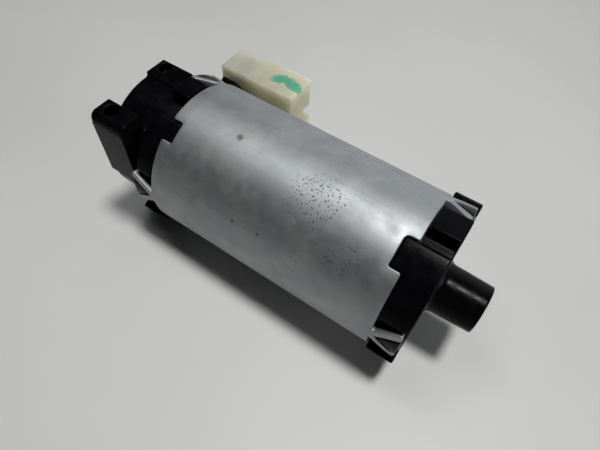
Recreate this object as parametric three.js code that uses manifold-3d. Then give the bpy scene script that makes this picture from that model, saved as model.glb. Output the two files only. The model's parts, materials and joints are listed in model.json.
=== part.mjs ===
// Brushed permanent-magnet DC motor of the kind that drives a seat or window adjuster through a
// flexible shaft. A steel tube is staked over two moulded end caps. The brush end cap has two
// fixing ears and a two-way connector, and the drive end cap has the output nozzle.
//
// Millimetres. The origin is the centre of the flat rear face, +X runs along the shaft towards the
// nozzle and +Z is up as the motor lies on its lower pads. "Angle" means degrees round the shaft
// from straight up, positive towards -Y.

import * as THREE from "three";
import { mergeVertices } from "three/addons/utils/BufferGeometryUtils.js";
import Module from "manifold-3d";

const wasm = await Module();
wasm.setup();

// Driving dimensions.
const GAP = 0.3; // between fixed pieces that touch
const RUN = 0.05; // radial clearance of the shaft in its bushes

const TUBE_OUTER = 18.5;
const TUBE_INNER = 17;
const TUBE_START = 16;
const TUBE_END = 75.1;

const REAR_FACE = 0;
const BODY_RADIUS = 16.3; // brush end cap, outside the tube
const PLUG_RADIUS = 16.7; // either cap, inside the tube
const CAP_BORE = 14.4; // hollow inside either cap
const REAR_PLUG_END = 22;
const DRIVE_PLUG_START = 70.1;
const DRIVE_FACE = 81.8;
const NOZZLE_END = 92.1;
const NOZZLE_BORE = 4.2;

// Each end has three stakes, five pads and three keys, and a skirt in place of a sixth pad.
const STAKE_ANGLES = [-32, 88, 208];
const REAR_KEY_ANGLES = [30, 150, 268]; // the last one's notch lets the connector's neck through
const DRIVE_KEY_ANGLES = [26, 146, 266];
const PAD_SIDE_STEP = 28; // from a stake to the pad on either side of it
const PAD_HEIGHT = 19.4;
const PAD_WIDTH = 6.4;
const REAR_PAD_LENGTH = 4.4;
const SKIRT_ANGLES = [28, 70]; // from a key to the side stake, as high as the key
const STAKE_LENGTH = 6.2;
const PROUD_RADIUS = 18.35; // tops of the keys and of the wedges between stake prongs
const NOTCH_DEPTH = 2.8;
const REAR_NOTCH_ANGLE = 16;
const DRIVE_NOTCH_ANGLE = 22;

const EAR_TOP = 17.25;

const SHAFT_RADIUS = 2.25;
const SHAFT_START = 3.4;
const SHAFT_END = 83;
const SHAFT_HOLE = 2.9; // through the drive end cap's web
const BUSH_HOUSING_RADIUS = 4.1;
const DRIVE_HOUSING_START = 66;
const SOCKET_SQUARE = 3.3;

const CORE_RADIUS = 12.6;
const CORE_START = 29;
const CORE_END = 57;
const SLOT_COUNT = 8;
const TOOTH_HALF_WIDTH = 2.1;

const MAGNET_INNER = 13.3;
const MAGNET_OUTER = 16.55;
const MAGNET_START = 25.3;
const MAGNET_END = 62.3;

const COMMUTATOR_RADIUS = 5.5;
const BRUSH_X = 13.8; // centre of the brushes along the shaft
const BRUSH_TOP = 9.6;

const CONNECTOR = { x0: 7.6, x1: 29.9, y0: 18.8, y1: 27.3, z0: -6.9, z1: 11.7 };
const SOCKET_DEPTH = 6.9;
const SOCKET_WALL = 1.5;
const RIB_HEIGHT = 0.9; // the thicker half of the connector's back
const RIB_LENGTH = 14.9;
const BLADE_HEIGHTS = { positive: 5.8, negative: -1 };
const RISER_HEIGHTS = { positive: 0.8, negative: -2 };

// Radii between which a prism reaches right through the tube's wall.
const THROUGH = [12, 20];

const SMOOTH = 96; // facets of the tube
const ROUND = 48; // facets of the other large turned pieces
const SMALL = 24; // facets of the shaft and of the small pieces
const COARSE = 12; // facets of the chokes

const radians = THREE.MathUtils.degToRad;

// A closed geometry as a solid whose faces point outwards.
function solidOf(geometry) {
  const bare = geometry.clone();
  bare.deleteAttribute("normal");
  bare.deleteAttribute("uv");
  const merged = mergeVertices(bare, 1e-4);
  const corners = merged.index.array;
  const kept = [];
  for (let i = 0; i < corners.length; i += 3) {
    const [a, b, c] = corners.slice(i, i + 3);
    if (a !== b && b !== c && c !== a) kept.push(a, b, c);
  }
  const build = (triangles) =>
    new wasm.Manifold(
      new wasm.Mesh({
        numProp: 3,
        vertProperties: merged.attributes.position.array,
        triVerts: new Uint32Array(triangles),
      }),
    );
  const made = build(kept);
  return made.volume() > 0 ? made : build(kept.reverse());
}

function geometryOf(solid) {
  const mesh = solid.getMesh();
  const geometry = new THREE.BufferGeometry();
  geometry.setAttribute("position", new THREE.BufferAttribute(mesh.vertProperties, 3));
  geometry.setIndex(new THREE.BufferAttribute(mesh.triVerts, 1));
  return geometry;
}

function joined(...pieces) {
  return geometryOf(pieces.map(solidOf).reduce((sum, piece) => sum.add(piece)));
}

function cut(base, ...tools) {
  return geometryOf(tools.map(solidOf).reduce((rest, tool) => rest.subtract(tool), solidOf(base)));
}

function common(first, second) {
  return geometryOf(solidOf(first).intersect(solidOf(second)));
}

// A profile of [x, radius] points turned round the shaft's axis.
function turned(profile, facets = ROUND) {
  const points = profile.map(([x, radius]) => new THREE.Vector2(radius, x));
  return new THREE.LatheGeometry(points, facets).rotateZ(-Math.PI / 2);
}

function rod(x0, x1, radius, facets = ROUND) {
  const profile = [
    [x0, 0],
    [x0, radius],
    [x1, radius],
    [x1, 0],
  ];
  return turned(profile, facets);
}

function ring(x0, x1, inner, outer, facets = ROUND) {
  const profile = [
    [x0, inner],
    [x0, outer],
    [x1, outer],
    [x1, inner],
    [x0, inner],
  ];
  return turned(profile, facets);
}

function block(x0, x1, y0, y1, z0, z1) {
  const box = new THREE.BoxGeometry(x1 - x0, y1 - y0, z1 - z0);
  return box.translate((x0 + x1) / 2, (y0 + y1) / 2, (z0 + z1) / 2);
}

// A prism along X from a closed outline of [y, z] points.
function prismAlongX(outline, x0, x1) {
  const shape = new THREE.Shape(outline.map(([y, z]) => new THREE.Vector2(y, z)));
  const prism = new THREE.ExtrudeGeometry(shape, { depth: x1 - x0, bevelEnabled: false });
  // The outline's axes become Y and Z, and the extrusion's becomes X.
  const turn = new THREE.Matrix4().makeBasis(
    new THREE.Vector3(0, 1, 0),
    new THREE.Vector3(0, 0, 1),
    new THREE.Vector3(1, 0, 0),
  );
  return prism.applyMatrix4(turn).translate(x0, 0, 0);
}

// A prism that stands up from the shaft, from a plan of [x, across] points, before it is turned
// round the shaft to its angle.
function standing(plan, bottom, top) {
  const shape = new THREE.Shape(plan.map(([x, across]) => new THREE.Vector2(x, across)));
  const prism = new THREE.ExtrudeGeometry(shape, { depth: top - bottom, bevelEnabled: false });
  return prism.translate(0, 0, bottom);
}

function atAngle(geometry, angle) {
  return geometry.rotateX(radians(angle));
}

// A sector of a ring, its middle straight up.
function sector(x0, x1, inner, outer, halfAngle, steps) {
  const arc = (radius, from, to) =>
    Array.from({ length: steps + 1 }, (_, i) => {
      const at = radians(from + ((to - from) * i) / steps);
      return [radius * Math.sin(at), radius * Math.cos(at)];
    });
  return prismAlongX(
    [...arc(outer, -halfAngle, halfAngle), ...arc(inner, halfAngle, -halfAngle)],
    x0,
    x1,
  );
}

// A round wire along a smooth line through the points.
function wire(points, radius, steps, sides = 6) {
  const section = new THREE.Shape(
    Array.from({ length: sides }, (_, i) => {
      const at = (2 * Math.PI * i) / sides;
      return new THREE.Vector2(radius * Math.cos(at), radius * Math.sin(at));
    }),
  );
  const path = new THREE.CatmullRomCurve3(points.map((p) => new THREE.Vector3(...p)));
  return new THREE.ExtrudeGeometry(section, { extrudePath: path, steps, bevelEnabled: false });
}

// ---- Steel tube ----

// Plan of one stake: a root as wide as the slit tab, split into two prongs that splay apart.
function stakePlan(edge, outward) {
  const half = [
    [-1, 1.75],
    [0.6, 1.75],
    [2.8, 3.2],
    [STAKE_LENGTH - 0.3, 5.1],
    [STAKE_LENGTH, 3.3],
    [3.2, 1.7],
    [0.9, 0],
  ];
  const other = half.slice(0, -1).map(([out, across]) => [out, -across]);
  return [...half, ...other.reverse()].map(([out, across]) => [edge + outward * out, across]);
}

function notchPlan(edge, outward, angle) {
  const half = TUBE_OUTER * Math.sin(radians(angle / 2));
  return [
    [edge + outward, half],
    [edge - outward * NOTCH_DEPTH, half],
    [edge - outward * NOTCH_DEPTH, -half],
    [edge + outward, -half],
  ];
}

function yokeTube() {
  const ends = [
    { edge: TUBE_START, outward: -1, notch: REAR_NOTCH_ANGLE, keys: REAR_KEY_ANGLES },
    { edge: TUBE_END, outward: 1, notch: DRIVE_NOTCH_ANGLE, keys: DRIVE_KEY_ANGLES },
  ];
  let tube = ring(TUBE_START, TUBE_END, TUBE_INNER, TUBE_OUTER, SMOOTH);
  for (const { edge, outward, notch, keys } of ends) {
    const reach = edge + outward * (STAKE_LENGTH + 1);
    const shell = ring(
      Math.min(edge - outward, reach),
      Math.max(edge - outward, reach),
      TUBE_INNER,
      TUBE_OUTER,
      SMOOTH,
    );
    for (const angle of STAKE_ANGLES) {
      const prongs = atAngle(standing(stakePlan(edge, outward), ...THROUGH), angle);
      tube = joined(tube, common(shell, prongs));
    }
    for (const angle of keys)
      tube = cut(tube, atAngle(standing(notchPlan(edge, outward, notch), ...THROUGH), angle));
  }
  return tube;
}

// ---- End caps ----

const [skirtStart, skirtEnd] = SKIRT_ANGLES;
const padAngles = STAKE_ANGLES.flatMap((angle) => [
  angle - PAD_SIDE_STEP,
  angle + PAD_SIDE_STEP,
]).filter((angle) => angle < skirtStart || angle > skirtEnd);

// The pads, skirt, wedges and keys that stand on a cap outside the tube.
function capFeatures(edge, outward, padLength, keyAngles, keyWidth, keyLength) {
  const along = (near, far) => [edge + outward * near, edge + outward * far].sort((a, b) => a - b);
  const [padStart, padEnd] = along(GAP, padLength);
  const pads = padAngles.map((angle) =>
    atAngle(block(padStart, padEnd, -PAD_WIDTH / 2, PAD_WIDTH / 2, 15, PAD_HEIGHT), angle),
  );
  const skirt = atAngle(
    sector(padStart, padEnd, 15, PROUD_RADIUS, (skirtEnd - skirtStart) / 2, 12),
    (skirtStart + skirtEnd) / 2,
  );
  const [outStart, outEnd] = along(-NOTCH_DEPTH + GAP, Math.max(keyLength, STAKE_LENGTH));
  const skin = ring(outStart, outEnd, 15, PROUD_RADIUS, SMOOTH);
  const wedgePlan = [
    [edge + outward * 1.5, 0],
    [edge + outward * STAKE_LENGTH, 2.9],
    [edge + outward * STAKE_LENGTH, -2.9],
  ];
  const wedges = STAKE_ANGLES.map((angle) =>
    common(skin, atAngle(standing(wedgePlan, ...THROUGH), angle)),
  );
  const half = PROUD_RADIUS * Math.sin(radians(keyWidth / 2)) - GAP;
  const keyPlan = [
    [edge - outward * (NOTCH_DEPTH - GAP), half],
    [edge + outward * keyLength, half],
    [edge + outward * keyLength, -half],
    [edge - outward * (NOTCH_DEPTH - GAP), -half],
  ];
  const keys = keyAngles.map((angle) =>
    common(skin, atAngle(standing(keyPlan, ...THROUGH), angle)),
  );
  return [...pads, skirt, ...wedges, ...keys];
}

function driveEndCap() {
  const wall = 3.3;
  const housingOuter = 6.2;
  const shell = turned([
    [DRIVE_HOUSING_START, BUSH_HOUSING_RADIUS],
    [72.4, BUSH_HOUSING_RADIUS],
    [72.4, SHAFT_HOLE],
    [79.3, SHAFT_HOLE],
    [79.3, NOZZLE_BORE],
    [NOZZLE_END, NOZZLE_BORE],
    [NOZZLE_END, 5.2],
    [NOZZLE_END - 0.3, 5.5],
    [DRIVE_FACE + 1.3, 5.75],
    [DRIVE_FACE + 0.4, 6.1],
    [DRIVE_FACE, 7],
    [DRIVE_FACE, PLUG_RADIUS],
    [DRIVE_PLUG_START, PLUG_RADIUS],
    [DRIVE_PLUG_START, CAP_BORE],
    [DRIVE_FACE - wall, CAP_BORE],
    [DRIVE_FACE - wall, housingOuter],
    [DRIVE_HOUSING_START, housingOuter],
    [DRIVE_HOUSING_START, BUSH_HOUSING_RADIUS],
  ]);
  const depth = DRIVE_FACE - TUBE_END;
  const features = capFeatures(TUBE_END, 1, depth, DRIVE_KEY_ANGLES, DRIVE_NOTCH_ANGLE, depth);
  return joined(shell, ...features);
}

// Each ear is a block on the cap with a flat top and a screw pocket sunk in it.
const EAR_END = 9.4;
const upperEar = { y0: 0.8, y1: 6.85, z0: 10, pocket: { x: 2.5, y: 4.7, depth: 2.2 } };
const sideEar = { y0: -16.9, y1: -10.8, z0: -1, pocket: { x: 3.2, y: -13.3, depth: 6 } };
const EAR_CORNER = { across: 2, down: 2.6 }; // the side ear's rounded outer corner
const POCKET_RADIUS = 1.65;

function upperEarBlock() {
  const { y0, y1, z0 } = upperEar;
  return block(REAR_FACE, EAR_END, y0, y1, z0, EAR_TOP);
}

function sideEarBlock() {
  const { y0, y1, z0 } = sideEar;
  const corner = Array.from({ length: 9 }, (_, i) => {
    const at = radians((90 * i) / 8);
    return [
      y0 + EAR_CORNER.across * (1 - Math.sin(at)),
      EAR_TOP - EAR_CORNER.down * (1 - Math.cos(at)),
    ];
  });
  return prismAlongX([...corner, [y0, z0], [y1, z0], [y1, EAR_TOP]], REAR_FACE, EAR_END);
}

function pocketDrill({ x, y, depth }) {
  const drill = new THREE.CylinderGeometry(POCKET_RADIUS, POCKET_RADIUS, depth + 1, SMALL);
  return drill.rotateX(Math.PI / 2).translate(x, y, EAR_TOP + 0.5 - depth / 2);
}

const NECK = { x0: 12.4, x1: 18.4, z0: -3.1, z1: 1.9, y0: 14.7 };
const REAR_KEY_LENGTH = 4;

function brushEndCap() {
  const outer = turned([
    [REAR_FACE, 0],
    [REAR_FACE, BODY_RADIUS - 0.4],
    [REAR_FACE + 0.4, BODY_RADIUS],
    [TUBE_START + GAP, BODY_RADIUS],
    [TUBE_START + GAP, PLUG_RADIUS],
    [REAR_PLUG_END, PLUG_RADIUS],
    [REAR_PLUG_END, 0],
  ]);
  const hollow = turned([
    [2.2, 0],
    [2.2, CAP_BORE],
    [REAR_PLUG_END + 1, CAP_BORE],
    [REAR_PLUG_END + 1, 0],
  ]);
  const bushHousing = ring(2, 8, BUSH_HOUSING_RADIUS, 5.8);
  const features = capFeatures(
    TUBE_START,
    -1,
    REAR_PAD_LENGTH + GAP,
    REAR_KEY_ANGLES,
    REAR_NOTCH_ANGLE,
    REAR_KEY_LENGTH,
  );
  const neckSlot = block(
    NECK.x0 - GAP,
    NECK.x1 + 5,
    NECK.y0 - 1,
    TUBE_OUTER + 1,
    NECK.z0 - GAP,
    NECK.z1 + GAP,
  );
  const body = cut(
    joined(outer, upperEarBlock(), sideEarBlock(), ...features),
    hollow,
    neckSlot,
    pocketDrill(upperEar.pocket),
    pocketDrill(sideEar.pocket),
  );
  return joined(body, bushHousing);
}

// ---- Connector ----

// The notch along the connector's back, where the plug's latch catches: a straight top and a
// sloped foot.
const LATCH_NOTCH = { length: 11, depth: 2.3, top: 3.7, ledge: 2.9, foot: -1.4 };

// One blade with the riser that takes it through the neck into the motor. grow widens it all
// round, for the channel that holds it.
function terminal(side, grow = 0) {
  const blade = BLADE_HEIGHTS[side];
  const riser = RISER_HEIGHTS[side];
  const half = 0.4 + grow;
  const top = 24.4 + grow;
  const riserX = [15.6 - grow, 17.2 + grow];
  return joined(
    block(9.2 - grow, riserX[1], 21.6 - grow, top, blade - half, blade + half),
    block(...riserX, 22.2 - grow, top, Math.min(blade, riser) - half, Math.max(blade, riser) + half),
    block(...riserX, 12.3 - grow, top, riser - half, riser + half),
  );
}

function connectorHousing() {
  const { x0, x1, y0, y1, z0, z1 } = CONNECTOR;
  const body = block(x0, x1, y0, y1, z0, z1);
  const neck = block(NECK.x0, NECK.x1, NECK.y0, y0 + 1, NECK.z0, NECK.z1);
  const socket = block(
    x0 - 1,
    x0 + SOCKET_DEPTH,
    y0 + SOCKET_WALL,
    y1 - SOCKET_WALL,
    z0 + SOCKET_WALL,
    z1 - SOCKET_WALL,
  );
  const backRib = block(x1 - RIB_LENGTH, x1, y1 - 0.5, y1 + RIB_HEIGHT, z0, z1);
  const latchNotch = prismAlongX(
    [
      [y1 + 2, LATCH_NOTCH.top],
      [y1 - LATCH_NOTCH.depth, LATCH_NOTCH.top],
      [y1 - LATCH_NOTCH.depth, LATCH_NOTCH.ledge],
      [y1 + 2, LATCH_NOTCH.foot],
    ],
    x1 - LATCH_NOTCH.length,
    x1 + 1,
  );
  return cut(
    joined(body, neck, backRib),
    socket,
    latchNotch,
    terminal("positive", GAP),
    terminal("negative", GAP),
  );
}

// ---- Brush gear ----

const card = { x0: 9, x1: 10.5, radius: 14.1, hole: 6.6 };
const brushBox = { x: 6, y: 5.4, wall: 0.6, bottom: 7, top: 13.5, end: 0.4 };
const brush = { x: 4.6, y: 4 };

// Centred boxes on the upper brush's line. The lower set is turned half round the shaft.
function pillar(xSize, ySize, z0, z1) {
  return block(BRUSH_X - xSize / 2, BRUSH_X + xSize / 2, -ySize / 2, ySize / 2, z0, z1);
}

function brushBoxShape() {
  const { x, y, wall, bottom, top, end } = brushBox;
  const bore = pillar(x - 2 * wall, y - 2 * wall, bottom - 1, top - end);
  const leadSlot = block(BRUSH_X, BRUSH_X + x, -0.8, 0.8, bottom - 1, top - 1.5);
  return cut(pillar(x, y, bottom, top), bore, leadSlot);
}

function carbonBrush() {
  const face = rod(BRUSH_X - 5, BRUSH_X + 5, COMMUTATOR_RADIUS + GAP);
  return cut(pillar(brush.x, brush.y, 4, BRUSH_TOP), face);
}

function brushSpring() {
  const wireRadius = 0.2;
  const turns = 4.5;
  const steps = 45;
  const low = BRUSH_TOP + GAP + wireRadius;
  const high = brushBox.top - brushBox.end - GAP - wireRadius;
  const helix = Array.from({ length: steps + 1 }, (_, i) => {
    const at = (2 * Math.PI * turns * i) / steps;
    return [BRUSH_X + 1.4 * Math.cos(at), 1.4 * Math.sin(at), low + ((high - low) * i) / steps];
  });
  return wire(helix, wireRadius, steps);
}

// The flexible lead from a brush to its choke. The two leads are mirror images in height.
function brushLead(up) {
  const route = [
    [BRUSH_X + brush.x / 2 + GAP, 0, 7.9],
    [BRUSH_X + 4.6, 0.2, 8.2],
    [BRUSH_X + 5.8, 2.2, 8.8],
    [BRUSH_X + 5.9, 5.4, 8.2],
    [BRUSH_X + 5.7, 8.2, 6.6],
    [BRUSH_X + 5.4, choke.y, choke.z],
  ];
  return wire(
    route.map(([x, y, z]) => [x, y, up * z]),
    0.35,
    20,
  );
}

const choke = { x0: 11, x1: 18.6, y: 9.7, z: 5.6, outer: 2, inner: 1.2, core: 0.9 };

function chokeCoil(up) {
  const { x0, x1, y, z, outer, inner } = choke;
  const turns = 7;
  const pitch = (x1 - x0) / turns;
  const ridges = Array.from({ length: turns }, (_, i) => [
    [x0 + pitch * i, outer - 0.35],
    [x0 + pitch * (i + 0.5), outer],
  ]).flat();
  const profile = [[x0, inner], ...ridges, [x1, outer - 0.35], [x1, inner], [x0, inner]];
  return turned(profile, COARSE).translate(0, y, up * z);
}

function chokeCore(up) {
  const core = rod(choke.x0 - 0.2, choke.x1 + 0.2, choke.core, COARSE);
  return core.translate(0, choke.y, up * choke.z);
}

function brushCard() {
  const feet = [-1, 1].map((up) =>
    block(
      card.x0 - 0.5,
      card.x1 + 0.5,
      choke.y - choke.outer,
      choke.y + choke.outer,
      up * choke.z - 0.4,
      up * choke.z + 0.4,
    ),
  );
  const plate = ring(card.x0, card.x1, card.hole, card.radius);
  return cut(plate, ...feet);
}

// ---- Magnets and bearings ----

function magnetClip() {
  const legs = [-1, 1].map((side) =>
    atAngle(block(MAGNET_START + 4, MAGNET_END - 4, -0.3, 0.3, 14.2, 16.2), side * 19),
  );
  return joined(sector(MAGNET_START + 4, MAGNET_END - 4, 16, 16.55, 20, 8), ...legs);
}

function bush(x0, x1) {
  const middle = (x0 + x1) / 2;
  const half = (x1 - x0) / 2;
  const outer = 3.9;
  const bore = SHAFT_RADIUS + RUN;
  const barrel = Array.from({ length: 5 }, (_, i) => {
    const along = half * (i / 2 - 1);
    return [middle + along, outer - 0.9 * (along / half) ** 2];
  });
  return turned([[x0, bore], ...barrel, [x1, bore], [x0, bore]], SMALL);
}

// ---- Rotor ----

// Plan of a winding slot on its own radius, straight up, with the given clearance to the teeth.
function slotPlan(low, high, clearance, mouth) {
  const halfPitch = radians(180 / SLOT_COUNT);
  const reach = (u) => (u * Math.sin(halfPitch) - TOOTH_HALF_WIDTH) / Math.cos(halfPitch) - clearance;
  const outline = [
    [-reach(low), low],
    [-reach(high), high],
  ];
  if (mouth) outline.push([-mouth, high + 0.4], [-mouth, 14], [mouth, 14], [mouth, high + 0.4]);
  return [...outline, [reach(high), high], [reach(low), low]];
}

const slotAngles = Array.from({ length: SLOT_COUNT }, (_, i) => ((i + 0.5) * 360) / SLOT_COUNT);

function toothed(x0, x1, radius) {
  const blank = ring(x0, x1, SHAFT_RADIUS + RUN, radius);
  const slots = slotAngles.map((angle) =>
    atAngle(prismAlongX(slotPlan(6.6, 11.3, 0, 0.9), x0 - 1, x1 + 1), angle),
  );
  return cut(blank, ...slots);
}

function armatureWinding() {
  const insulator = 1.1; // insulator and its gaps
  const rear = turned([
    [24.4, 5.2],
    [24.4, 8.6],
    [25.4, 11],
    [CORE_START - insulator, 11.6],
    [CORE_START - insulator, 4.2],
    [26, 4.2],
    [24.4, 5.2],
  ]);
  const front = turned([
    [CORE_END + insulator, 4.2],
    [CORE_END + insulator, 11.6],
    [60.6, 11],
    [61.8, 8.8],
    [61.8, 4.8],
    [61, 4.2],
    [CORE_END + insulator, 4.2],
  ]);
  const bars = slotAngles.map((angle) =>
    atAngle(prismAlongX(slotPlan(7.5, 11, GAP, 0), CORE_START - 2, CORE_END + 2), angle),
  );
  return joined(rear, front, ...bars);
}

function commutatorSegment() {
  const bar = sector(10.6, 18, 4.3, COMMUTATOR_RADIUS, 20.5, 6);
  const hook = sector(17.6, 19, 4.3, COMMUTATOR_RADIUS + 1.5, 7, 2);
  return joined(bar, hook);
}

function driveSocket() {
  const start = 79.8;
  const end = 86;
  const outer = 3.7;
  const chamfer = 0.3;
  const half = SOCKET_SQUARE / 2;
  const body = turned(
    [
      [start, 0],
      [start, outer - chamfer],
      [start + chamfer, outer],
      [end - chamfer, outer],
      [end, outer - chamfer],
      [end, 0],
    ],
    SMALL,
  );
  const shaftBore = rod(start - 1, SHAFT_END + GAP, SHAFT_RADIUS + RUN, SMALL);
  return cut(body, shaftBore, block(SHAFT_END, end + 1, -half, half, -half, half));
}

// ---- Materials ----

const finish = (color, roughness, metalness) =>
  new THREE.MeshStandardMaterial({ color, roughness, metalness });

const zinc = finish(0xa9b2b8, 0.42, 0.85);
const blackPlastic = finish(0x17171a, 0.5, 0);
const ivoryPlastic = finish(0xcfcba6, 0.5, 0);
const tinnedBrass = finish(0xc9c4b4, 0.3, 1);
const brass = finish(0xb89550, 0.35, 1);
const steel = finish(0x9a9da1, 0.3, 1);
const ferrite = finish(0x3b3a3c, 0.7, 0.1);
const carbon = finish(0x2a2a2c, 0.6, 0.1);
const copper = finish(0xb4653a, 0.35, 1);
const sinteredBronze = finish(0x8f6b43, 0.55, 0.9);
const fibre = finish(0x3f6b4a, 0.7, 0);
const phenolic = finish(0x5a3420, 0.6, 0);
const ceramic = finish(0x2f5d8f, 0.4, 0);

// ---- Assembly ----

const motor = new THREE.Group();

function add(name, geometry, material) {
  const mesh = new THREE.Mesh(geometry, material);
  mesh.name = name;
  motor.add(mesh);
  return mesh;
}

const HALF_TURN = 180;
const both = { upper: 1, lower: -1 };

add("yoke_tube", yokeTube(), zinc);
add("drive_end_cap", driveEndCap(), blackPlastic);
add("brush_end_cap", brushEndCap(), blackPlastic);
add("connector_housing", connectorHousing(), ivoryPlastic);
add("terminal_positive", terminal("positive"), tinnedBrass);
add("terminal_negative", terminal("negative"), tinnedBrass);

add("brush_card", brushCard(), fibre);
for (const [place, up] of Object.entries(both)) {
  const angle = up > 0 ? 0 : HALF_TURN;
  add("brush_box_" + place, atAngle(brushBoxShape(), angle), brass);
  add("carbon_brush_" + place, atAngle(carbonBrush(), angle), carbon);
  add("brush_spring_" + place, atAngle(brushSpring(), angle), steel);
  add("brush_lead_" + place, brushLead(up), copper);
  add("choke_coil_" + place, chokeCoil(up), copper);
  add("choke_core_" + place, chokeCore(up), ferrite);
}
add("suppression_capacitor", block(11, 13.4, -12.6, -8.8, 0.8, 6), ceramic);
add("thermal_protector", block(11, 15.4, -12.4, -8.6, -7, -1.6), blackPlastic);

const magnet = () => sector(MAGNET_START, MAGNET_END, MAGNET_INNER, MAGNET_OUTER, 66, 22);
add("magnet_front", atAngle(magnet(), 90), ferrite);
add("magnet_rear", atAngle(magnet(), -90), ferrite);
add("magnet_clip_upper", magnetClip(), steel);
add("magnet_clip_lower", atAngle(magnetClip(), HALF_TURN), steel);

add("thrust_pad", rod(2.4, SHAFT_START - GAP, 2.6, SMALL), blackPlastic);
add("brush_end_bush", bush(3.4, 7.6), sinteredBronze);
add("drive_end_bush", bush(67, 72), sinteredBronze);
add("brush_bush_retainer", ring(8.3, 8.6, 2.9, 5.4, SMALL), steel);
add("drive_bush_retainer", ring(65.4, 65.7, 2.9, 5.8, SMALL), steel);

add("shaft", rod(SHAFT_START, SHAFT_END, SHAFT_RADIUS, SMALL), steel);
add("thrust_washer_brush", ring(8.9, 9.3, SHAFT_RADIUS + RUN, 3.7, SMALL), fibre);
add("thrust_washer_drive", ring(64.6, 65, SHAFT_RADIUS + RUN, 3.7, SMALL), fibre);
add("armature_core", toothed(CORE_START, CORE_END, CORE_RADIUS), steel);
add("core_insulator_brush", toothed(CORE_START - 0.8, CORE_START - GAP, CORE_RADIUS - 0.5), fibre);
add("core_insulator_drive", toothed(CORE_END + GAP, CORE_END + 0.8, CORE_RADIUS - 0.5), fibre);
add("armature_winding", armatureWinding(), copper);
add("commutator_hub", ring(9.7, 19.6, SHAFT_RADIUS + RUN, 4, SMALL), phenolic);
for (let i = 0; i < SLOT_COUNT; i += 1) {
  const angle = (360 * i) / SLOT_COUNT;
  add("commutator_segment_" + (i + 1), atAngle(commutatorSegment(), angle), copper);
}
add("drive_socket", driveSocket(), steel);

export default motor;
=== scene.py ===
import json
import math

import bmesh
import bpy
from mathutils import Matrix, Vector
from mathutils.geometry import delaunay_2d_cdt


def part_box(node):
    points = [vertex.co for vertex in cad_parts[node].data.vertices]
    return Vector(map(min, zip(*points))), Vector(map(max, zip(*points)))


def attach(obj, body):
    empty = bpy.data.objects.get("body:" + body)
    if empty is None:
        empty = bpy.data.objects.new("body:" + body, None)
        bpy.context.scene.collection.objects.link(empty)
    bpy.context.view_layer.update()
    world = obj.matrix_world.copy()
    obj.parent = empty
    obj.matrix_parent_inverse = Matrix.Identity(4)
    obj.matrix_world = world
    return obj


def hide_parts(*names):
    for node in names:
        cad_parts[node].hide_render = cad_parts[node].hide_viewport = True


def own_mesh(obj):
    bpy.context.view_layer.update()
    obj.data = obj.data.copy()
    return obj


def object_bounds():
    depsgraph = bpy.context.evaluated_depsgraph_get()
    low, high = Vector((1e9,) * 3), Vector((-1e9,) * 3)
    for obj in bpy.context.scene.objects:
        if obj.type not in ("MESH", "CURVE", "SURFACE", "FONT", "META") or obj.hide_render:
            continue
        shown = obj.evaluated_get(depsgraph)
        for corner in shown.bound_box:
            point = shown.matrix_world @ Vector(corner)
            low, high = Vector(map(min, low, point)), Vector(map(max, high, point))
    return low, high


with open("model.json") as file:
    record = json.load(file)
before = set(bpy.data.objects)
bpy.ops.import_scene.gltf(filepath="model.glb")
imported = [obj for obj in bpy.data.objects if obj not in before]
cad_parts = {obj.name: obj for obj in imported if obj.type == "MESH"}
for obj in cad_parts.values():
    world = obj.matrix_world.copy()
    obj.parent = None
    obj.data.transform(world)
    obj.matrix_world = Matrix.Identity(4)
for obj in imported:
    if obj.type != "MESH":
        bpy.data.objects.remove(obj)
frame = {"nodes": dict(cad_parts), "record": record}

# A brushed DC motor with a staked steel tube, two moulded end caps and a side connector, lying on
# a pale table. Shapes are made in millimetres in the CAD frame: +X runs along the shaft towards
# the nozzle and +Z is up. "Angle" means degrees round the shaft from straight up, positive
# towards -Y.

MM = 0.001
cad_low, cad_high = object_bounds()


def in_mm(node):
    low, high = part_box(node)
    return low / MM, high / MM


# ---- Sizes, as in the CAD ----

STAKE_LENGTH = 6.2
tube_low, tube_high = in_mm("yoke_tube")
TUBE_START = tube_low.x + STAKE_LENGTH
TUBE_END = tube_high.x - STAKE_LENGTH
TUBE_OUTER = tube_high.z
TUBE_INNER = TUBE_OUTER - 1.5

rear_low, rear_high = in_mm("brush_end_cap")
REAR_FACE = rear_low.x
REAR_PLUG_END = rear_high.x
BODY_RADIUS = 16.3
PLUG_RADIUS = 16.7
CAP_BORE = 14.4

drive_low, drive_high = in_mm("drive_end_cap")
DRIVE_PLUG_START = 70.1
DRIVE_FACE = 81.8
NOZZLE_END = drive_high.x
NOZZLE_BORE = 4.2
BUSH_HOUSING_START = drive_low.x
BUSH_HOUSING_RADIUS = 4.1
SHAFT_HOLE = 2.9

# Each end has three stakes, five pads and three keys, and a skirt in place of a sixth pad.
STAKE_ANGLES = (-152, -32, 88)
REAR_KEY_ANGLES = (-92, 30, 150)
DRIVE_KEY_ANGLES = (-94, 26, 146)
PAD_ANGLES = (-180, -124, -60, -4, 116)
SKIRT_ANGLES = (28, 70)
PAD_HEIGHT = -drive_low.z
PAD_WIDTH = 6.4
REAR_PAD_LENGTH = 4.4
REAR_KEY_LENGTH = 4
FEATURE_FOOT = 15  # radius inside the caps' walls, where the pads and the skirt start
PROUD_RADIUS = 18.35  # tops of the keys, of the skirt and of the wedges between stake prongs
PROUD_FOOT = 15.5  # radius where the keys and wedges start
THROUGH = (12, 20)  # radii between which a prism reaches right through the tube's wall
NOTCH_DEPTH = 2.8
REAR_NOTCH_ANGLE = 16
DRIVE_NOTCH_ANGLE = 22
GAP = 0.3  # between fixed pieces that touch

NECK_X = (12.4, 18.4)
NECK_FOOT = 14.7
NECK_Z = (-3.1, 1.9)

housing_low, housing_high = in_mm("connector_housing")


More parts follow.
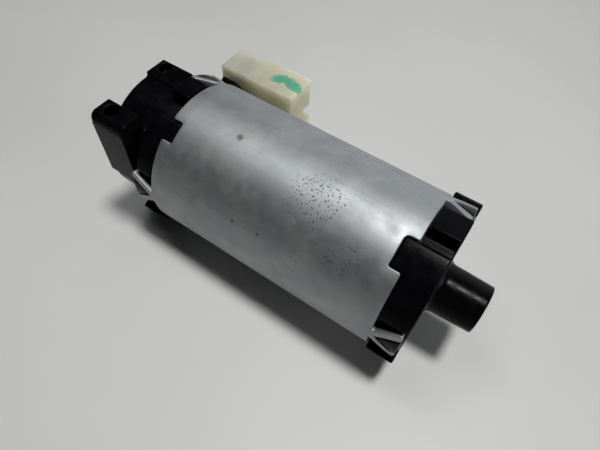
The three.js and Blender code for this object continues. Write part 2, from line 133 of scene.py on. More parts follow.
# ---- Solids ----

def mesh_object(name, points, faces):
    mesh = bpy.data.meshes.new(name)
    mesh.from_pydata([Vector(p) * MM for p in points], [], faces)
    piece = bpy.data.objects.new(name, mesh)
    bpy.context.scene.collection.objects.link(piece)
    return piece


def face_outwards(piece, merge=0.0):
    work = bmesh.new()
    work.from_mesh(piece.data)
    if merge:
        bmesh.ops.remove_doubles(work, verts=work.verts, dist=merge * MM)
    bmesh.ops.recalc_face_normals(work, faces=work.faces)
    work.to_mesh(piece.data)
    work.free()
    return piece


def around(point, angle):
    """The point turned round the shaft by an angle in degrees."""
    x, y, z = point
    c = math.cos(math.radians(angle))
    s = math.sin(math.radians(angle))
    return (x, y * c - z * s, y * s + z * c)


def turned(profile, facets=192):
    """A closed solid from [x, radius] points, which start and end on the axis or join up."""
    loop = profile[0] == profile[-1]
    ring_points = profile[:-1] if loop else profile
    points = []
    rings = []
    for x, radius in ring_points:
        first = len(points)
        if radius == 0:
            points.append((x, 0, 0))
            rings.append([first] * facets)
            continue
        points += [around((x, 0, radius), 360 * i / facets) for i in range(facets)]
        rings.append(list(range(first, first + facets)))
    faces = []
    pairs = list(zip(rings, rings[1:]))
    if loop:
        pairs.append((rings[-1], rings[0]))
    for near, far in pairs:
        for i in range(facets):
            j = (i + 1) % facets
            corners = list(dict.fromkeys((near[i], near[j], far[j], far[i])))
            if len(corners) > 2:
                faces.append(corners)
    return face_outwards(mesh_object("turned", points, faces))


def prism(outline, place, depth0, depth1):
    """A prism from a flat outline. place(u, v, depth) gives a corner's place."""
    count = len(outline)
    points = [place(u, v, depth) for depth in (depth0, depth1) for u, v in outline]
    sides = [(i, (i + 1) % count, count + (i + 1) % count, count + i) for i in range(count)]
    faces = [tuple(range(count)), tuple(range(count, 2 * count))] + sides
    return face_outwards(mesh_object("prism", points, faces))


def standing(plan, bottom, top, angle=0):
    """A prism that stands up from the shaft on a plan of [x, across] points."""
    return prism(plan, lambda x, across, z: around((x, across, z), angle), bottom, top)


def along_shaft(outline, x0, x1):
    """A prism along the shaft from an outline of [y, z] points."""
    return prism(outline, lambda y, z, x: (x, y, z), x0, x1)


def block(x0, x1, y0, y1, z0, z1, angle=0):
    plan = [(x0, y0), (x1, y0), (x1, y1), (x0, y1)]
    return standing(plan, z0, z1, angle)


def settle(piece):
    """Applies the piece's modifiers to its mesh."""
    graph = bpy.context.evaluated_depsgraph_get()
    made = bpy.data.meshes.new_from_object(piece.evaluated_get(graph))
    piece.modifiers.clear()
    piece.data = made
    return piece


def combine(base, operation, tools):
    for tool in tools:
        step = base.modifiers.new("combine", "BOOLEAN")
        step.operation = operation
        step.solver = "MANIFOLD"
        step.object = tool
    settle(base)
    for tool in tools:
        bpy.data.objects.remove(tool)
    return base


def joined(base, *tools):
    return combine(base, "UNION", tools)


def cut(base, *tools):
    return combine(base, "DIFFERENCE", tools)


def common(base, tool):
    return combine(base, "INTERSECT", [tool])


def mould(piece, grain, passes):
    """Rounds every edge a little, as a moulding's are. grain is the mesh's size."""
    remesh = piece.modifiers.new("mould", "REMESH")
    remesh.mode = "VOXEL"
    remesh.voxel_size = grain * MM
    relax = piece.modifiers.new("relax", "SMOOTH")
    relax.factor = 0.5
    relax.iterations = passes
    settle(piece)
    piece.data.shade_smooth()
    return piece


def bevelled(piece, width, segments=3, sharp=35):
    bevel = piece.modifiers.new("bevel", "BEVEL")
    bevel.width = width * MM
    bevel.segments = segments
    bevel.limit_method = "ANGLE"
    bevel.angle_limit = math.radians(sharp)
    settle(piece)
    piece.data.shade_smooth()
    piece.data.set_sharp_from_angle(angle=math.radians(sharp))
    return piece


# ---- Steel tube ----

SEAM_ANGLE = 178  # where the sheet's two sides meet
EDGE_RADIUS = 0.22


def rounded(corners, steps=5):
    """An open line through [along, out, corner radius] points with its corners rounded."""
    line = [Vector(corners[0][:2])]
    for before, corner, after in zip(corners, corners[1:], corners[2:]):
        here = Vector(corner[:2])
        back = Vector(before[:2]) - here
        on = Vector(after[:2]) - here
        reach = min(corner[2], 0.45 * back.length, 0.45 * on.length)
        start = here + back.normalized() * reach
        end = here + on.normalized() * reach
        for i in range(steps + 1):
            t = i / steps
            line.append(start * (1 - t) ** 2 + here * 2 * t * (1 - t) + end * t ** 2)
    return line + [Vector(corners[-1][:2])]


def densified(line, spacing):
    dense = [line[0]]
    for a, b in zip(line, line[1:]):
        count = max(1, math.ceil((b - a).length / spacing))
        dense += [a.lerp(b, i / count) for i in range(1, count + 1)]
    return dense


def tube_edge(key_angles, notch_angle, notch_corner):
    """One end of the unrolled sheet, as [along the edge, outwards] points."""
    # Each corner is [along, out, corner radius]. A stake's half runs from its root to its fork.
    half_notch = TUBE_OUTER * math.radians(notch_angle / 2)
    notch = [
        (-half_notch, 0, 0.5),
        (-half_notch, -NOTCH_DEPTH, notch_corner),
        (half_notch, -NOTCH_DEPTH, 0.5),
        (half_notch, 0, 0.5),
    ]
    half_stake = [
        (1.75, 0, 0.5),
        (1.75, 0.6, 0.6),
        (3.2, 2.8, 2.0),
        (5.05, STAKE_LENGTH - 0.35, 0.5),
        (3.35, STAKE_LENGTH - 0.03, 0.5),
        (1.7, 3.2, 1.5),
    ]
    mirrored = [(-across, out, radius) for across, out, radius in half_stake]
    stake = mirrored + [(0, 0.9, 0.4)] + half_stake[::-1]
    features = [(angle, notch) for angle in key_angles] + [(angle, stake) for angle in STAKE_ANGLES]
    start = TUBE_OUTER * math.radians(SEAM_ANGLE - 360)
    end = TUBE_OUTER * math.radians(SEAM_ANGLE)
    corners = [(start, 0, 0)]
    for angle, shape in sorted(features, key=lambda feature: feature[0]):
        centre = TUBE_OUTER * math.radians(angle)
        corners += [(centre + across, out, radius) for across, out, radius in shape]
    corners.append((end, 0, 0))
    return densified(rounded(corners), 0.7)


def inset(line, distance):
    """The line moved inwards, towards lower "out", by a distance."""
    moved = []
    for i, point in enumerate(line):
        before = line[max(i - 1, 0)]
        after = line[min(i + 1, len(line) - 1)]
        run = (after - before).normalized()
        moved.append(point + Vector((run.y, -run.x)) * distance)
    return moved


def tube_outline(distance):
    """The unrolled sheet's two long edges as [along, x] points, drive end then brush end."""
    drive = inset(tube_edge(DRIVE_KEY_ANGLES, DRIVE_NOTCH_ANGLE, 1.6), distance)
    rear = inset(tube_edge(REAR_KEY_ANGLES, REAR_NOTCH_ANGLE, 0.6), distance)
    return (
        [Vector((s, TUBE_END + out)) for s, out in drive],
        [Vector((s, TUBE_START - out)) for s, out in rear],
    )


def wrapped(point, radius):
    along, x = point
    return around((x, 0, radius), math.degrees(along / TUBE_OUTER))


def tube():
    """The rolled sheet: two skins joined by rounded edges, finely and evenly meshed."""
    drive, rear = tube_outline(EDGE_RADIUS)
    first_row = 3.6  # clear of the notches in the rear edge
    row_pitch = 2.2
    rows = [TUBE_START + first_row + row_pitch * i for i in range(24)]
    seam_end = [Vector((drive[-1].x, x)) for x in reversed(rows)]
    seam_start = [Vector((drive[0].x, x)) for x in rows]
    loop = drive + seam_end + rear[::-1] + seam_start
    columns = 110
    step = (drive[-1].x - drive[0].x) / columns
    inside = [Vector((drive[0].x + step * i, x)) for i in range(1, columns) for x in rows]
    flat, _, triangles, origins, _, _ = delaunay_2d_cdt(
        loop + inside, [], [list(range(len(loop)))], 1, 1e-5
    )
    made_from = {source: i for i, sources in enumerate(origins) for source in sources}
    chains = {
        "drive": [made_from[i] for i in range(len(drive))],
        "rear": [made_from[len(drive) + len(rows) + len(rear) - 1 - i] for i in range(len(rear))],
    }
    # Across the sheet's cut edge, from the outer face to the inner one.
    rounding = [
        (EDGE_RADIUS * (1 - math.sin(t)), EDGE_RADIUS * (1 - math.cos(t)))
        for t in (math.pi / 6, math.pi / 3, math.pi / 2)
    ]
    section = [(inward, TUBE_OUTER - down) for inward, down in rounding]
    section += [(inward, TUBE_INNER + down) for inward, down in reversed(rounding)]
    points = [wrapped(p, TUBE_OUTER) for p in flat] + [wrapped(p, TUBE_INNER) for p in flat]
    below = len(flat)
    faces = [tuple(t) for t in triangles] + [tuple(i + below for i in t[::-1]) for t in triangles]
    for which, name in enumerate(("drive", "rear")):
        rails = [chains[name]]
        for inward, radius in section:
            line = tube_outline(inward)[which]
            rails.append(list(range(len(points), len(points) + len(line))))
            points += [wrapped(p, radius) for p in line]
        rails.append([i + below for i in chains[name]])
        for near, far in zip(rails, rails[1:]):
            for i in range(len(near) - 1):
                faces.append((near[i], near[i + 1], far[i + 1], far[i]))
    piece = face_outwards(mesh_object("tube", points, faces), merge=0.002)
    piece.data.shade_smooth()
    piece.data.set_sharp_from_angle(angle=math.radians(50))
    return piece


# ---- End caps ----

def cap_features(edge, outward, pad_length, key_angles, key_width, key_length):
    """The pads, skirt, wedges and keys that stand on a cap outside the tube."""
    def x_at(out):
        return edge + outward * out

    ends = sorted((x_at(GAP), x_at(pad_length)))
    half = PAD_WIDTH / 2
    pads = [block(*ends, -half, half, FEATURE_FOOT, PAD_HEIGHT, angle) for angle in PAD_ANGLES]
    start, end = SKIRT_ANGLES
    steps = 24
    arc = [around((0, 0, 1), start + (end - start) * i / steps) for i in range(steps + 1)]
    outline = [(y * PROUD_RADIUS, z * PROUD_RADIUS) for _, y, z in arc]
    outline += [(y * FEATURE_FOOT, z * FEATURE_FOOT) for _, y, z in reversed(arc)]
    skirt = along_shaft(outline, *ends)
    ends = sorted((x_at(GAP - NOTCH_DEPTH), x_at(max(key_length, STAKE_LENGTH))))
    skin_profile = [
        (ends[0], PROUD_FOOT),
        (ends[0], PROUD_RADIUS),
        (ends[1], PROUD_RADIUS),
        (ends[1], PROUD_FOOT),
        (ends[0], PROUD_FOOT),
    ]
    wedge = [(x_at(1.5), 0), (x_at(STAKE_LENGTH), 2.9), (x_at(STAKE_LENGTH), -2.9)]
    half = PROUD_RADIUS * math.sin(math.radians(key_width / 2)) - GAP
    key = [
        (x_at(GAP - NOTCH_DEPTH), half),
        (x_at(key_length), half),
        (x_at(key_length), -half),
        (x_at(GAP - NOTCH_DEPTH), -half),
    ]
    plans = [(wedge, angle) for angle in STAKE_ANGLES] + [(key, angle) for angle in key_angles]
    proud = [common(standing(plan, *THROUGH, angle), turned(skin_profile)) for plan, angle in plans]
    return pads + [skirt] + proud


def drive_cap():
    wall = 3.3
    housing_outer = 6.2
    shell = turned([
        (BUSH_HOUSING_START, BUSH_HOUSING_RADIUS),
        (72.4, BUSH_HOUSING_RADIUS),
        (72.4, SHAFT_HOLE),
        (79.3, SHAFT_HOLE),
        (79.3, NOZZLE_BORE),
        (NOZZLE_END, NOZZLE_BORE),
        (NOZZLE_END, 5.5),
        (DRIVE_FACE + 1.3, 5.75),
        (DRIVE_FACE + 0.75, 5.88),
        (DRIVE_FACE + 0.3, 6.25),
        (DRIVE_FACE, 7.1),
        (DRIVE_FACE, PLUG_RADIUS),
        (DRIVE_PLUG_START, PLUG_RADIUS),
        (DRIVE_PLUG_START, CAP_BORE),
        (DRIVE_FACE - wall, CAP_BORE),
        (DRIVE_FACE - wall, housing_outer),
        (BUSH_HOUSING_START, housing_outer),
        (BUSH_HOUSING_START, BUSH_HOUSING_RADIUS),
    ])
    depth = DRIVE_FACE - TUBE_END
    features = cap_features(TUBE_END, 1, depth, DRIVE_KEY_ANGLES, DRIVE_NOTCH_ANGLE, depth)
    return mould(joined(shell, *features), 0.24, 3)


EAR_TOP = 17.25
EAR_END = 9.4
CORNER_ACROSS = 2  # the side ear's rounded outer corner
CORNER_DOWN = 2.6
POCKET_RADIUS = 1.65


def upper_ear():
    near, far, foot = 0.8, 6.85, 10
    return block(REAR_FACE, EAR_END, near, far, foot, EAR_TOP)


def side_ear():
    face, back, foot = -16.9, -10.8, -1
    steps = 12
    outline = []
    for i in range(steps + 1):
        turn = math.radians(90 * i / steps)
        across = face + CORNER_ACROSS * (1 - math.sin(turn))
        outline.append((across, EAR_TOP - CORNER_DOWN * (1 - math.cos(turn))))
    outline += [(face, foot), (back, foot), (back, EAR_TOP)]
    return along_shaft(outline, REAR_FACE, EAR_END)


def pocket(x, y, depth):
    """A tool that sinks a round pocket into an ear's top."""
    sides = 48
    drill = []
    for i in range(sides):
        at = 2 * math.pi * i / sides
        drill.append((x + POCKET_RADIUS * math.cos(at), y + POCKET_RADIUS * math.sin(at)))
    return standing(drill, EAR_TOP - depth, EAR_TOP + 1)


def brush_cap():
    outer = turned([
        (REAR_FACE, 0),
        (REAR_FACE, BODY_RADIUS - 0.4),
        (REAR_FACE + 0.4, BODY_RADIUS),
        (TUBE_START + GAP, BODY_RADIUS),
        (TUBE_START + GAP, PLUG_RADIUS),
        (REAR_PLUG_END, PLUG_RADIUS),
        (REAR_PLUG_END, 0),
    ])
    wall = 2.2
    hollow = turned([
        (wall, 0),
        (wall, CAP_BORE),
        (REAR_PLUG_END + 1, CAP_BORE),
        (REAR_PLUG_END + 1, 0),
    ])
    housing_start, housing_end = 2, 8
    housing_outer = 5.8
    housing = turned([
        (housing_start, BUSH_HOUSING_RADIUS),
        (housing_start, housing_outer),
        (housing_end, housing_outer),
        (housing_end, BUSH_HOUSING_RADIUS),
        (housing_start, BUSH_HOUSING_RADIUS),
    ])
    features = cap_features(
        TUBE_START,
        -1,
        REAR_PAD_LENGTH + GAP,
        REAR_KEY_ANGLES,
        REAR_NOTCH_ANGLE,
        REAR_KEY_LENGTH,
    )
    body = joined(outer, upper_ear(), side_ear(), *features)
    neck_slot = block(
        NECK_X[0] - GAP,
        REAR_PLUG_END + 1,
        NECK_FOOT - 1,
        TUBE_OUTER + 1,
        NECK_Z[0] - GAP,
        NECK_Z[1] + GAP,
    )
    body = cut(body, hollow, neck_slot, pocket(2.5, 4.7, 2.2), pocket(3.2, -13.3, 6))
    return mould(joined(body, housing), 0.26, 3)


# ---- Connector ----

SOCKET_DEPTH = 6.9
SOCKET_WALL = 1.5
RIB_HEIGHT = 0.9  # the thicker half of the back
RIB_LENGTH = 14.9
# The notch along the back where the plug's latch catches: a straight top and a sloped foot.
LATCH_LENGTH = 11
LATCH_DEPTH = 2.3
LATCH_TOP = 3.7
LATCH_LEDGE = 2.9
LATCH_FOOT = -1.4
TERMINALS = ((5.8, 0.8), (-1, -2))  # heights of each blade and of the riser that it joins
BODY_START = housing_low.x
BODY_END = housing_high.x
BODY_FRONT = 18.8
BODY_BACK = 27.3
BODY_BOTTOM = housing_low.z
BODY_TOP = housing_high.z


def terminal_channel(blade, riser):
    """The channel round a blade and its riser, a gap wider than they are."""
    half = 0.7
    top = 24.7
    riser_x = (15.3, 17.5)
    low = min(blade, riser) - half
    high = max(blade, riser) + half
    return joined(
        block(8.9, riser_x[1], 21.3, top, blade - half, blade + half),
        block(*riser_x, 21.9, top, low, high),
        block(*riser_x, 12, top, riser - half, riser + half),
    )


def connector():
    body = block(BODY_START, BODY_END, BODY_FRONT, BODY_BACK, BODY_BOTTOM, BODY_TOP)
    neck = block(*NECK_X, NECK_FOOT, BODY_FRONT + 1, *NECK_Z)
    back_rib = block(
        BODY_END - RIB_LENGTH,
        BODY_END,
        BODY_BACK - 0.5,
        BODY_BACK + RIB_HEIGHT,
        BODY_BOTTOM,
        BODY_TOP,
    )
    socket = block(
        BODY_START - 1,
        BODY_START + SOCKET_DEPTH,
        BODY_FRONT + SOCKET_WALL,
        BODY_BACK - SOCKET_WALL,
        BODY_BOTTOM + SOCKET_WALL,
        BODY_TOP - SOCKET_WALL,
    )
    notch = [
        (BODY_BACK + 2, LATCH_TOP),
        (BODY_BACK - LATCH_DEPTH, LATCH_TOP),
        (BODY_BACK - LATCH_DEPTH, LATCH_LEDGE),
        (BODY_BACK + 2, LATCH_FOOT),
    ]
    body = joined(body, neck, back_rib)
    latch = along_shaft(notch, BODY_END - LATCH_LENGTH, BODY_END + 1)
    channels = [terminal_channel(blade, riser) for blade, riser in TERMINALS]
    return bevelled(cut(body, socket, latch, *channels), 0.35)


# ---- Brush springs ----

SPRING_RADIUS = 1.4
SPRING_WIRE = 0.2
SPRING_TURNS = 4.5


def brush_spring(node):
    """The coil spring behind a brush, in its CAD node's place."""
    low, high = in_mm(node)
    middle_x = (low.x + high.x) / 2
    start = low.z + SPRING_WIRE
    rise = high.z - low.z - 2 * SPRING_WIRE
    steps, sides = 144, 12
    points = []
    for i in range(steps + 1):
        turn = 2 * math.pi * SPRING_TURNS * i / steps
        out = Vector((math.cos(turn), math.sin(turn), 0))
        run = Vector((-out.y, out.x, rise / (2 * math.pi * SPRING_TURNS * SPRING_RADIUS)))
        up = out.cross(run.normalized())
        centre = out * SPRING_RADIUS + Vector((middle_x, 0, start + rise * i / steps))
        for k in range(sides):
            at = 2 * math.pi * k / sides
            points.append(centre + (out * math.cos(at) + up * math.sin(at)) * SPRING_WIRE)
    faces = [tuple(range(sides)), tuple(range(steps * sides, (steps + 1) * sides))]
    for i in range(steps):
        for k in range(sides):
            here, beside = i * sides + k, i * sides + (k + 1) % sides
            faces.append((here, beside, beside + sides, here + sides))
    spring = face_outwards(mesh_object("spring", points, faces))
    spring.data.shade_smooth()
    return spring


# ---- Materials ----

class Shader:
    """Builds one node-based material with short calls. Lengths are in millimetres."""

    def __init__(self, name):
        self.material = bpy.data.materials.new(name)
        self.material.use_nodes = True
        self.tree = self.material.node_tree
        self.out = self.tree.nodes["Principled BSDF"]
        metres = self.node("TexCoord").outputs["Object"]
        inputs = {0: metres, "Scale": 1 / MM}
        self.place = self.node("VectorMath", {"operation": "SCALE"}, inputs).outputs[0]

    def node(self, kind, settings=None, inputs=None):
        node = self.tree.nodes.new("ShaderNode" + kind)
        for key, value in (settings or {}).items():
            setattr(node, key, value)
        for key, value in (inputs or {}).items():
            self.feed(node.inputs[key], value)
        return node

    def feed(self, socket, value):
        if isinstance(value, bpy.types.NodeSocket):
            self.tree.links.new(value, socket)
        else:
            socket.default_value = value

    def set(self, **values):
        for key, value in values.items():
            self.feed(self.out.inputs[key.replace("_", " ")], value)

    def stretched(self, x, y, z):
        """The place scaled along each axis, for grain that runs one way."""
        inputs = {0: self.place, 1: (x, y, z)}
        return self.node("VectorMath", {"operation": "MULTIPLY"}, inputs).outputs[0]

    def noise(self, per_mm, detail=3.0, place=None, warp=0.0):
        inputs = {"Vector": place or self.place, "Scale": per_mm, "Detail": detail, "Distortion": warp}
        return self.node("TexNoise", None, inputs).outputs[0]

    def band(self, value, low, high, to_low=0.0, to_high=1.0):
        """value mapped from low..high to to_low..to_high, with the ends held."""
        settings = {"clamp": True, "interpolation_type": "SMOOTHSTEP"}
        inputs = {
            "Value": value,
            "From Min": low,
            "From Max": high,
            "To Min": to_low,
            "To Max": to_high,
        }
        return self.node("MapRange", settings, inputs).outputs[0]

    def math(self, operation, a, b=0.0):
        return self.node("Math", {"operation": operation}, {0: a, 1: b}).outputs[0]

    def mix(self, share, low, high):
        node = self.node("Mix", {"data_type": "RGBA"}, {"Factor": share})
        self.feed(node.inputs[6], low)
        self.feed(node.inputs[7], high)
        return node.outputs[2]

    def spot(self, centre, radius, edge):
        """1 within a radius of a point, falling to 0 over an edge."""
        away = self.node("VectorMath", {"operation": "DISTANCE"}, {0: self.place, 1: centre})
        return self.band(away.outputs["Value"], radius - edge / 2, radius + edge / 2, 1.0, 0.0)

    def bump(self, height, depth, strength=1.0):
        inputs = {"Height": height, "Distance": depth * MM, "Strength": strength}
        self.set(Normal=self.node("Bump", None, inputs).outputs[0])


def rgb(r, g, b):
    return (r, g, b, 1.0)


def on_tube(x, angle):
    return around((x, 0, TUBE_OUTER), angle)


def zinc_plate():
    s = Shader("zinc_plate")
    cloud = s.noise(0.12, 4, warp=0.6)
    rolled = s.noise(1.0, 4, s.stretched(0.05, 1.6, 1.6))
    base = s.mix(s.band(cloud, 0.35, 0.7), rgb(0.33, 0.348, 0.364), rgb(0.40, 0.41, 0.412))
    base = s.mix(s.band(rolled, 0.45, 0.75, 0, 0.3), base, rgb(0.26, 0.28, 0.30))
    # Dark specks, thicker in two patches near the drive end, with paler blots among them.
    pits = s.noise(2.6, 2)
    dirty = s.math("MAXIMUM", s.spot(on_tube(54, 24), 7, 7), s.spot(on_tube(64.5, 48), 4.5, 4))
    dirty = s.math("MAXIMUM", dirty, s.band(s.noise(0.09, 2), 0.52, 0.68, 0, 0.6))
    level = s.math("ADD", pits, s.band(dirty, 0, 1, 0, 0.14))
    speck = s.band(level, 0.735, 0.77)
    base = s.mix(speck, base, rgb(0.11, 0.11, 0.105))
    blot = s.math("MULTIPLY", s.band(s.noise(0.8, 5), 0.56, 0.72), s.band(dirty, 0.2, 1, 0, 0.4))
    base = s.mix(blot, base, rgb(0.33, 0.34, 0.33))
    # One spot of rust, two small dents drawn only as dark spots of painted shade, and faint scratches
    # along the tube.
    rust = s.math("MULTIPLY", s.spot(on_tube(32.1, 11.5), 0.75, 0.7), s.band(s.noise(1.4, 3), 0.3, 0.5))
    base = s.mix(s.math("MULTIPLY", rust, 0.85), base, rgb(0.16, 0.075, 0.03))
    dent_shade_spots = s.math(
        "MAXIMUM",
        s.spot(on_tube(39.3, 64), 0.4, 0.4),
        s.spot(on_tube(45.8, 62.5), 0.35, 0.4),
    )
    # Painted shade: the dents are darkened spots on the base colour, not shaped or bumped.
    base = s.mix(s.math("MULTIPLY", dent_shade_spots, 0.8), base, rgb(0.1, 0.1, 0.1))
    scratch = s.band(s.noise(1.0, 2, s.stretched(0.16, 3.2, 3.2), warp=0.3), 0.72, 0.75)
    base = s.mix(s.math("MULTIPLY", scratch, 0.35), base, rgb(0.75, 0.77, 0.77))
    rough = s.band(s.noise(0.35, 5), 0.3, 0.75, 0.5, 0.6)
    rough = s.math("ADD", rough, s.math("MULTIPLY", speck, 0.3))
    s.set(Base_Color=base, Metallic=0.88, Roughness=rough)
    grain = s.math("ADD", s.math("MULTIPLY", s.noise(5, 3), 0.5), s.math("MULTIPLY", speck, -1.0))
    s.bump(grain, 0.03, 0.5)
    return s.material


def black_plastic():
    s = Shader("black_plastic")
    tone = s.band(s.noise(0.25, 4), 0.35, 0.7)
    base = s.mix(tone, rgb(0.0018, 0.0018, 0.0025), rgb(0.004, 0.004, 0.005))
    scuff = s.band(s.noise(0.9, 6, warp=0.8), 0.6, 0.78, 0, 0.35)
    base = s.mix(scuff, base, rgb(0.012, 0.0115, 0.0115))
    dust = s.band(s.noise(3.2, 2), 0.72, 0.8, 0, 0.35)
    base = s.mix(dust, base, rgb(0.05, 0.047, 0.044))
    s.set(Base_Color=base, Roughness=s.band(s.noise(0.6, 5), 0.3, 0.75, 0.17, 0.32))
    s.set(Specular_IOR_Level=0.05)
    s.bump(s.noise(4, 5), 0.035, 0.6)
    return s.material


def ivory_plastic():
    s = Shader("ivory_plastic")
    tone = s.band(s.noise(0.2, 3), 0.3, 0.7)
    base = s.mix(tone, rgb(0.43, 0.415, 0.315), rgb(0.50, 0.48, 0.37))
    paint = painted_mark(s)
    base = s.mix(s.math("MULTIPLY", paint, 0.95), base, rgb(0.055, 0.33, 0.225))
    rough = s.band(s.noise(0.7, 4), 0.3, 0.7, 0.38, 0.5)
    s.set(Base_Color=base, Roughness=rough, Subsurface_Weight=1.0, Subsurface_Scale=0.014)
    s.set(Subsurface_Radius=(1.0, 0.95, 0.7))
    grain = s.math("MULTIPLY", s.noise(3, 4), 0.4)
    s.bump(s.math("ADD", grain, s.math("MULTIPLY", paint, 0.8)), 0.04, 0.5)
    return s.material


def painted_mark(s):
    """Where a curved stroke of green marking paint lies on the connector's top."""
    centre = (25.2, 18.9, BODY_TOP)
    away = s.node("VectorMath", {"operation": "DISTANCE"}, {0: s.place, 1: centre}).outputs["Value"]
    ragged = s.math("ADD", away, s.band(s.noise(0.9, 4), 0.2, 0.8, -0.9, 0.9))
    across = s.math("ABSOLUTE", s.math("SUBTRACT", ragged, 5.0))
    stroke = s.band(across, 1.1, 2.0, 1.0, 0.0)
    parts = s.node("SeparateXYZ", None, {0: s.place})
    stroke = s.math("MULTIPLY", stroke, s.band(parts.outputs["X"], 19.5, 22.5))
    stroke = s.math("MULTIPLY", stroke, s.band(parts.outputs["Z"], BODY_TOP - 0.9, BODY_TOP - 0.5))
    stroke = s.math("MULTIPLY", stroke, s.band(parts.outputs["Y"], 21.2, 22))
    return s.math("MULTIPLY", stroke, s.band(s.noise(1.3, 5), 0.25, 0.5, 0.75, 1))


def plain_metal(name, color, roughness):
    """A metal with a faint tone and gloss variation."""
    s = Shader(name)
    per_mm = 1.2
    darker = rgb(*(c * 0.75 for c in color))
    base = s.mix(s.band(s.noise(per_mm, 4), 0.3, 0.7), darker, rgb(*color))
    gloss = s.band(s.noise(per_mm * 2, 3), 0.3, 0.7, roughness, roughness + 0.15)
    s.set(Base_Color=base, Metallic=1.0, Roughness=gloss)
    s.bump(s.noise(per_mm * 6, 3), 0.02, 0.4)
    return s.material


def plain_solid(name, color, roughness):
    """A non-metal with a faint tone variation and grain."""
    s = Shader(name)
    per_mm = 1.5
    darker = rgb(*(c * 0.7 for c in color))
    base = s.mix(s.band(s.noise(per_mm, 4), 0.3, 0.7), darker, rgb(*color))
    gloss = s.band(s.noise(per_mm * 2, 3), 0.3, 0.7, roughness, roughness + 0.12)
    s.set(Base_Color=base, Roughness=gloss)
    s.bump(s.noise(per_mm * 5, 4), 0.03, 0.5)
    return s.material


SLOT_MATERIALS = {
    "zinc_steel": zinc_plate(),
    "black_plastic": black_plastic(),
    "ivory_plastic": ivory_plastic(),
    "tinned_brass": plain_metal("tinned_brass", (0.66, 0.64, 0.58), 0.25),
    "brass": plain_metal("brass", (0.70, 0.52, 0.24), 0.3),
    "steel": plain_metal("ground_steel", (0.50, 0.51, 0.53), 0.28),
    "ferrite": plain_solid("ferrite", (0.07, 0.07, 0.075), 0.6),
    "carbon": plain_solid("carbon", (0.03, 0.03, 0.033), 0.5),
    "copper": plain_metal("copper", (0.62, 0.26, 0.12), 0.28),
    "sintered_bronze": plain_metal("sintered_bronze", (0.42, 0.28, 0.15), 0.5),
    "fibre": plain_solid("fibre", (0.11, 0.24, 0.14), 0.6),
    "phenolic": plain_solid("phenolic", (0.20, 0.09, 0.05), 0.45),
    "ceramic": plain_solid("ceramic", (0.05, 0.16, 0.36), 0.3),
}


# ---- Pieces ----

def piece(obj, name, node, body, slot):
    obj.name = name
    obj.data.materials.clear()
    obj.data.materials.append(SLOT_MATERIALS[slot])
    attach(obj, body)
    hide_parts(node)


for entry in frame["record"]["subparts"]:
    cad = frame["nodes"][entry["node"]]
    cad.data.materials.clear()
    cad.data.materials.append(SLOT_MATERIALS[entry["material_slot"]])

piece(tube(), "steel_tube", "yoke_tube", "stator", "zinc_steel")
piece(drive_cap(), "drive_cap_moulding", "drive_end_cap", "stator", "black_plastic")
piece(brush_cap(), "brush_cap_moulding", "brush_end_cap", "stator", "black_plastic")
piece(connector(), "connector_moulding", "connector_housing", "stator", "ivory_plastic")
for side, up in (("upper", 1), ("lower", -1)):
    spring = brush_spring("brush_spring_" + side)
    piece(spring, "coil_spring_" + side, "brush_spring_" + side, "stator", "steel")
    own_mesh(spring)


# ---- Stage, light and camera ----

MIDDLE = (cad_low + cad_high) / 2


def stage_material():
    s = Shader("table")
    base = s.mix(s.band(s.noise(0.01, 3), 0.3, 0.7), rgb(0.57, 0.575, 0.565), rgb(0.60, 0.605, 0.595))
    s.set(Base_Color=base, Roughness=0.5)
    return s.material


def table():
    bpy.ops.mesh.primitive_plane_add(size=3, location=(0, 0, cad_low.z))
    top = bpy.context.object
    top.name = "table"
    top.data.materials.append(stage_material())


def lamp(name, place, height, width, watts, tone, spread=100):
    """An area light aimed at the motor's middle, in a cone of "spread" degrees. height is its
    size in the upright plane through its beam, and width its size across that plane."""
    data = bpy.data.lights.new(name, "AREA")
    data.shape = "RECTANGLE"
    data.size = height
    data.size_y = width
    data.energy = watts
    data.color = tone
    data.spread = math.radians(spread)
    light = bpy.data.objects.new(name, data)
    light.location = place
    light.rotation_euler = (MIDDLE - Vector(place)).to_track_quat("-Z", "X").to_euler()
    bpy.context.scene.collection.objects.link(light)


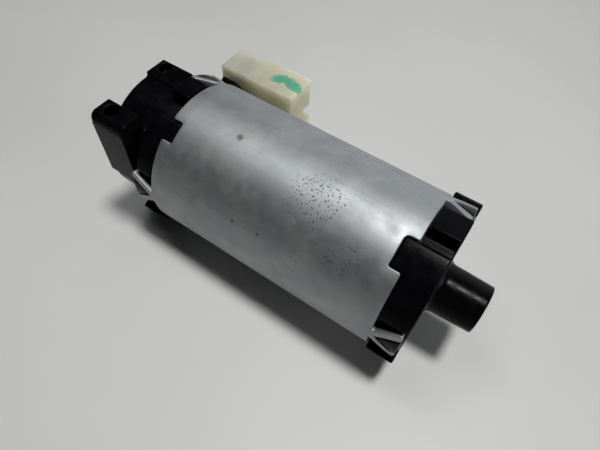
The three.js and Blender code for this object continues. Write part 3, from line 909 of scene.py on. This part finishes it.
def sky(bright_side, dark, bright, backdrop):
    """A soft sky, bright towards one direction and dark away from it. Behind the table the
    camera sees a plain pale backdrop instead, which lights nothing."""
    world = bpy.data.worlds.new("sky")
    world.use_nodes = True
    tree = world.node_tree
    place = tree.nodes.new("ShaderNodeTexCoord")
    facing = tree.nodes.new("ShaderNodeVectorMath")
    facing.operation = "DOT_PRODUCT"
    facing.inputs[1].default_value = Vector(bright_side).normalized()
    ramp = tree.nodes.new("ShaderNodeMapRange")
    ramp.interpolation_type = "SMOOTHSTEP"
    for name, value in (("From Min", 0.65), ("From Max", 1.0), ("To Min", dark), ("To Max", bright)):
        ramp.inputs[name].default_value = value
    tree.links.new(place.outputs["Generated"], facing.inputs[0])
    tree.links.new(facing.outputs["Value"], ramp.inputs["Value"])
    rays = tree.nodes.new("ShaderNodeLightPath")
    shown = tree.nodes.new("ShaderNodeMix")
    tree.links.new(rays.outputs["Is Camera Ray"], shown.inputs["Factor"])
    tree.links.new(ramp.outputs["Result"], shown.inputs["A"])
    shown.inputs["B"].default_value = backdrop
    background = tree.nodes["Background"]
    background.inputs["Color"].default_value = rgb(0.93, 0.965, 1.0)
    tree.links.new(shown.outputs["Result"], background.inputs["Strength"])
    bpy.context.scene.world = world


def camera():
    data = bpy.data.cameras.new("camera")
    data.sensor_width = 36
    data.lens = 28.08
    data.clip_start = 0.005
    place = Vector((80.6, -57.0, 90.1)) * MM
    aim = Vector((48.7, -4.3, 0)) * MM
    roll = Matrix.Rotation(math.radians(3.6), 4, "Z")
    turn = (aim - place).to_track_quat("-Z", "Y").to_matrix().to_4x4() @ roll
    eye = bpy.data.objects.new("camera", data)
    eye.matrix_world = Matrix.Translation(place) @ turn
    bpy.context.scene.collection.objects.link(eye)
    bpy.context.scene.camera = eye


table()
lamp("softbox", (0.17, 0.05, 0.8), 0.14, 0.12, 1.36, (1.0, 0.99, 0.97))
lamp("strip", (-0.25, 0.05, 0.72), 0.3, 0.2, 0.3, (0.97, 0.99, 1.0))
lamp("end_fill", (0.9, 0.12, 0.09), 0.16, 0.3, 0.085, (1.0, 0.99, 0.97), spread=30)
sky((0.05, 0.98, 0.16), 0.01, 1.0, 0.5)
camera()
bpy.context.scene.view_settings.view_transform = "Standard"

cad = [list(cad_low), list(cad_high)]
